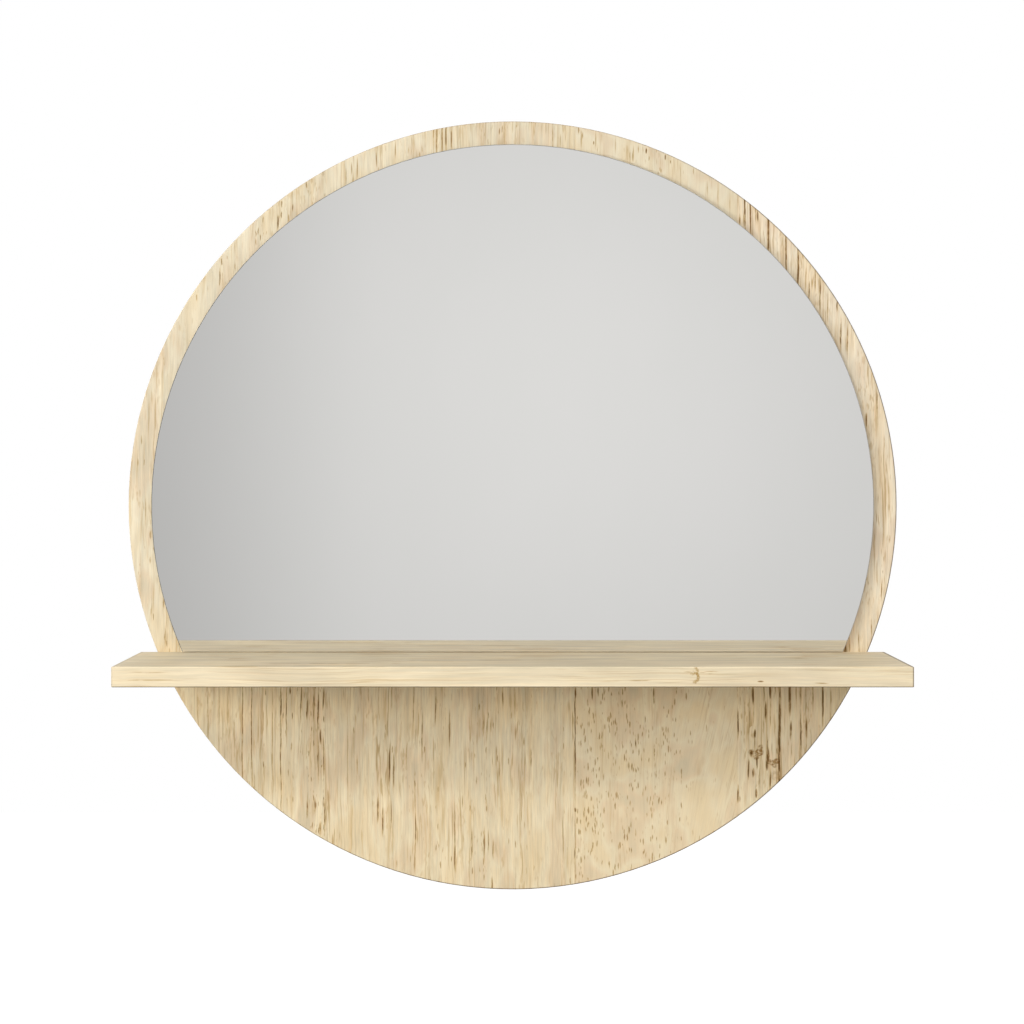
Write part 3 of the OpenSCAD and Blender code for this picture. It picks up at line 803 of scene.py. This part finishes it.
def mirror_material():
    """Silvered face; the ground edge is grey, with painted shade where it faces left, a painted
    highlight where it faces right, and a painted reflection of the shelf at the foot.
    """
    made, net, shader = new_material("mirror_face")
    normal = net.coords("Normal")
    face = net.ramp(net.vector("DOT_PRODUCT", normal, (0.0, -1.0, 0.0)), *MIRROR_FACE)
    sideways, _, upright = net.split(normal)
    haze = waves(net, HAZE, 4.0, 0.6)
    speck = waves(net, SPECK, 2.0, 0.6)
    silver = net.mix(net.ramp(haze, *HAZY), *SILVER)
    ground = net.mix(net.ramp(speck, *MOST), *GROUND)
    # Painted shade where the ground edge faces left, a painted highlight where it faces right.
    lit = net.ramp(sideways, *GROUND_PAINTED_LIGHT, smooth=False)
    ground = net.tint(1.0, ground, net.grey(lit))
    # Painted reflection of the shelf on the downward-facing edge at the foot.
    ground = net.mix(net.ramp(upright, *MIRROR_FOOT), ground, SHELF_REFLECTED_AT_FOOT)
    net.put(shader.inputs["Base Color"], net.mix(face, ground, silver))
    net.put(shader.inputs["Metallic"], face)
    smear = net.ramp(haze, *SMEARED, *SILVER_ROUGHNESS)
    rough = net.ramp(face, 0.0, 1.0, GROUND_ROUGHNESS, smear, smooth=False)
    net.put(shader.inputs["Roughness"], rough)
    return made


def film_material():
    made, net, shader = new_material("film_back")
    weave = waves(net, FILM_WEAVE)
    cloud = waves(net, FILM_CLOUD)
    net.put(shader.inputs["Base Color"], net.mix(net.ramp(cloud, *MOST), *FILM))
    net.put(shader.inputs["Roughness"], net.ramp(weave, *MOST, *FILM_ROUGHNESS))
    add_bump(net, shader, weave, *FILM_BUMP)
    return made


def tape_material():
    made, net, shader = new_material("foam_tape")
    cells = net.node("TexVoronoi", {"Vector": net.coords(), "Scale": FOAM_CELLS})
    size = cells.outputs["Distance"]
    net.put(shader.inputs["Base Color"], net.mix(net.ramp(size, *FOAM_CELL), *FOAM))
    net.put(shader.inputs["Roughness"], net.ramp(size, *FOAM_CELL, *FOAM_ROUGHNESS))
    add_bump(net, shader, size, *FOAM_BUMP)
    return made


def steel_material():
    made, net, shader = new_material("zinc_steel")
    brushed = waves(net, ZINC_BRUSHED)
    patch = waves(net, ZINC_PATCH)
    net.put(shader.inputs["Base Color"], net.mix(net.ramp(patch, *MIDDLING), *ZINC))
    shader.inputs["Metallic"].default_value = 1.0
    rough = net.ramp(brushed, *MOST, *ZINC_ROUGHNESS)
    rough = net.math("ADD", rough, net.ramp(patch, *MOST, *ZINC_PATCHY))
    net.put(shader.inputs["Roughness"], rough)
    add_bump(net, shader, brushed, *ZINC_BUMP)
    return made


def beech_material():
    made, net, shader = new_material("beech_dowel")
    spot = net.vector("MULTIPLY", net.coords(), [1.0 / MM] * 3)
    fleck = net.noise(net.vector("MULTIPLY", spot, BEECH_FLECK), 3.0)
    net.put(shader.inputs["Base Color"], net.mix(net.ramp(fleck, *MIDDLING), *BEECH))
    net.put(shader.inputs["Roughness"], net.ramp(fleck, *MOST, *BEECH_ROUGHNESS))
    add_bump(net, shader, fleck, *BEECH_BUMP)
    return made


# ---------------------------------------------------------------- pieces

GLUE_CHAMFER = 0.15 * MM
TOUCH = 1e-5
WELD = 1e-6
FLAT_ANGLE = math.radians(0.2)
SHARP_ANGLE = math.radians(40)
EVEN_WEIGHT = 100

# Each board's node, seed, glued joints and look.
BOARDS = (
    ("board_left", 1, (JOINT_LEFT,), LEFT_LOOK),
    ("board_middle_left", 2, (JOINT_LEFT, JOINT_MIDDLE), MIDDLE_LEFT_LOOK),
    ("board_middle_right", 3, (JOINT_MIDDLE, JOINT_RIGHT), MIDDLE_RIGHT_LOOK),
    ("board_right", 4, (JOINT_RIGHT,), RIGHT_LOOK),
)
SHELF_SEED = 5


def is_joint_edge(edge, joints):
    """True for the outline of a glued face, where it meets the board's outer faces."""
    if len(edge.link_faces) != 2:
        return False
    for joint in joints:
        on = [all(abs(v.co.x - joint * MM) < TOUCH for v in f.verts) for f in edge.link_faces]
        if on.count(True) == 1:
            return True
    return False


def ease_joints(mesh, joints):
    """Gives the mesh a tiny chamfer along its glued edges."""
    work = bmesh.new()
    work.from_mesh(mesh)
    bmesh.ops.remove_doubles(work, verts=work.verts, dist=WELD)
    bmesh.ops.dissolve_limit(
        work, angle_limit=FLAT_ANGLE, verts=work.verts, edges=work.edges,
        use_dissolve_boundaries=False,
    )
    edges = [e for e in work.edges if is_joint_edge(e, joints)]
    bmesh.ops.bevel(
        work, geom=edges, offset=GLUE_CHAMFER, segments=1, affect="EDGES", clamp_overlap=True,
    )
    bmesh.ops.recalc_face_normals(work, faces=work.faces)
    for face in work.faces:
        face.smooth = True
    work.to_mesh(mesh)
    work.free()


def board_piece(node, joints, material):
    """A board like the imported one, with its glued edges eased."""
    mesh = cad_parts[node].data.copy()
    ease_joints(mesh, joints)
    if "custom_normal" in mesh.attributes:
        mesh.attributes.remove(mesh.attributes["custom_normal"])
    mesh.set_sharp_from_angle(angle=SHARP_ANGLE)
    mesh.materials.clear()
    mesh.materials.append(material)
    piece = bpy.data.objects.new("wood_" + node, mesh)
    bpy.context.scene.collection.objects.link(piece)
    even = piece.modifiers.new("even_normals", "WEIGHTED_NORMAL")
    even.keep_sharp = True
    even.weight = EVEN_WEIGHT
    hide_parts(node)
    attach(piece, BODY)


def paint(node, material):
    """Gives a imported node, which keeps its shape, its finish."""
    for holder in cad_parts[node].material_slots:
        holder.material = material


def dress():
    for node, seed, joints, look in BOARDS:
        board_piece(node, joints, wood(node.replace("board", "wood"), "Z", seed, look))
    paint("shelf", wood("wood_shelf", "X", SHELF_SEED, SHELF_LOOK))
    paint("mirror_glass", mirror_material())
    paint("mirror_film", film_material())
    tape, steel, beech = tape_material(), steel_material(), beech_material()
    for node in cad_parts:
        if node.startswith("mirror_tape"):
            paint(node, tape)
        elif "screws" in node or "plate" in node:
            paint(node, steel)
        elif "dowel" in node:
            paint(node, beech)


# ---------------------------------------------------------------- stage

CAMERA_DISTANCE = 1.655
CAMERA_HEIGHT = 0.034
CAMERA_LENS = 69.19
CAMERA_SHIFT_X = -0.0006
CAMERA_SHIFT_Y = -0.0463
CAMERA_CLIP = (0.05, 100.0)

# Each lamp's azimuth, which turns from -Y towards -X, elevation, size and power.
LAMPS = {
    "key": (38.0, 29.2, 0.37, 25.0),
    "front": (8.0, -3.0, 2.2, 25.6),
    "side": (59.0, 8.0, 0.8, 46.5),
    "right": (-80.0, 15.0, 2.0, 28.0),
    "top": (0.0, 70.0, 2.0, 8.5),
    "back": (180.0, 4.0, 2.2, 40.0),
}
LAMP_DISTANCE = 3.2

# The studio that mirrors and metal show: brightest straight ahead, dimmer towards the left,
# and lit from above behind the part. Lists of four are (from, to, level, level).
WORLD_LEVEL = 0.375
GLOW_TOWARDS = (0.026, -1.0, 0.050)
GLOW_PEAK, GLOW_FAR = 0.737, 0.4535
GLOW_SPREAD = 0.25
GLOW_BEHIND = (-0.7, 0.7, 0.45, 1.0)
GLOW_TURNED = (0.0, 0.35)
SIDE_DIM = (-0.06, -0.20, 0.0, 0.126)
STUDIO_TINT = (1.0, 0.991, 0.976, 1.0)

FLOOR_Z = -1.5
FLOOR_SIZE = 14.0
FLOOR_CLOUD = (3.0, 3.0, 3.0)
FLOOR_GREY = ((0.36, 0.36, 0.355, 1.0), (0.38, 0.38, 0.375, 1.0))
FLOOR_ROUGHNESS = 0.9
FLOOR_GLOW = 0.9
FLOOR_MIRRORED = 0.62


def add_camera():
    data = bpy.data.cameras.new("camera")
    data.lens = CAMERA_LENS
    data.shift_x = CAMERA_SHIFT_X
    data.shift_y = CAMERA_SHIFT_Y
    data.clip_start, data.clip_end = CAMERA_CLIP
    camera = bpy.data.objects.new("camera", data)
    camera.location = (0.0, -CAMERA_DISTANCE, CAMERA_HEIGHT)
    camera.rotation_euler = (math.radians(90), 0.0, 0.0)
    bpy.context.scene.collection.objects.link(camera)
    bpy.context.scene.camera = camera


def add_lamp(name, azimuth, elevation, size, power):
    """A square soft lamp that points at the object and is itself never seen."""
    data = bpy.data.lights.new(name, "AREA")
    data.shape = "SQUARE"
    data.size = size
    data.energy = power
    lamp = bpy.data.objects.new(name, data)
    a, e = math.radians(azimuth), math.radians(elevation)
    place = (-math.sin(a) * math.cos(e), -math.cos(a) * math.cos(e), math.sin(e))
    lamp.location = [LAMP_DISTANCE * v for v in place]
    lamp.rotation_mode = "QUATERNION"
    lamp.rotation_quaternion = lamp.location.to_track_quat("Z", "Y")
    lamp.visible_camera = False
    lamp.visible_glossy = False
    bpy.context.scene.collection.objects.link(lamp)


def add_lamps():
    for name, numbers in LAMPS.items():
        add_lamp(name, *numbers)


def ray_kinds(net):
    """1 for a ray from the camera, and 1 for one that a surface mirrors or lets through."""
    path = net.node("LightPath").outputs
    mirrored = net.math("MAXIMUM", path["Is Glossy Ray"], path["Is Transmission Ray"])
    return path["Is Camera Ray"], mirrored


def studio_glow(net):
    """What mirrors and metal show in each direction."""
    towards = net.coords("Generated")
    off = net.vector("DISTANCE", towards, GLOW_TOWARDS)
    off = net.math("DIVIDE", off, GLOW_SPREAD)
    fall = net.math("DIVIDE", 1.0, net.math("ADD", net.times(off, off), 1.0))
    glow = net.math("MULTIPLY_ADD", fall, GLOW_PEAK - GLOW_FAR, GLOW_FAR)
    x, y, z = net.split(towards)
    glow = net.math("SUBTRACT", glow, net.ramp(x, *SIDE_DIM))
    behind = net.ramp(z, *GLOW_BEHIND)
    turned = net.times(net.ramp(y, *GLOW_TURNED), net.math("SUBTRACT", behind, glow))
    glow = net.math("ADD", glow, turned)
    return net.tint(1.0, net.grey(glow), STUDIO_TINT)


def add_world():
    """White to the camera, a soft grey studio to mirrors and metal, plain light to the rest."""
    world = bpy.data.worlds.new("studio")
    bpy.context.scene.world = world
    world.use_nodes = True
    net = Net(world.node_tree)
    seen, mirrored = ray_kinds(net)
    plain = (WORLD_LEVEL, WORLD_LEVEL, WORLD_LEVEL, 1.0)
    colour = net.mix(mirrored, plain, studio_glow(net))
    colour = net.mix(seen, colour, WHITE)
    back = net.node("Background", {"Color": colour, "Strength": 1.0})
    net.put(net.node("OutputWorld").inputs["Surface"], back.outputs[0])


def add_floor():
    mesh = bpy.data.meshes.new("floor")
    half = FLOOR_SIZE / 2
    around = ((-half, -half), (half, -half), (half, half), (-half, half))
    mesh.from_pydata([(x, y, FLOOR_Z) for x, y in around], [], [(0, 1, 2, 3)])
    floor = bpy.data.objects.new("floor", mesh)
    bpy.context.scene.collection.objects.link(floor)
    made, net, shader = new_material("floor_pale")
    cloud = waves(net, FLOOR_CLOUD)
    net.put(shader.inputs["Base Color"], net.mix(net.ramp(cloud, *MOST), *FLOOR_GREY))
    shader.inputs["Roughness"].default_value = FLOOR_ROUGHNESS
    seen, mirrored = ray_kinds(net)
    level = net.math("MAXIMUM", net.times(mirrored, FLOOR_MIRRORED), seen)
    glow = net.node("Emission", {"Color": WHITE, "Strength": net.times(level, FLOOR_GLOW)})
    both = net.node("AddShader", {0: shader.outputs[0], 1: glow.outputs[0]})
    out = next(n for n in net.tree.nodes if n.type == "OUTPUT_MATERIAL")
    net.put(out.inputs["Surface"], both.outputs[0])
    mesh.materials.append(made)


dress()
add_camera()
add_lamps()
add_world()
add_floor()
bpy.context.scene.view_settings.view_transform = "Standard"
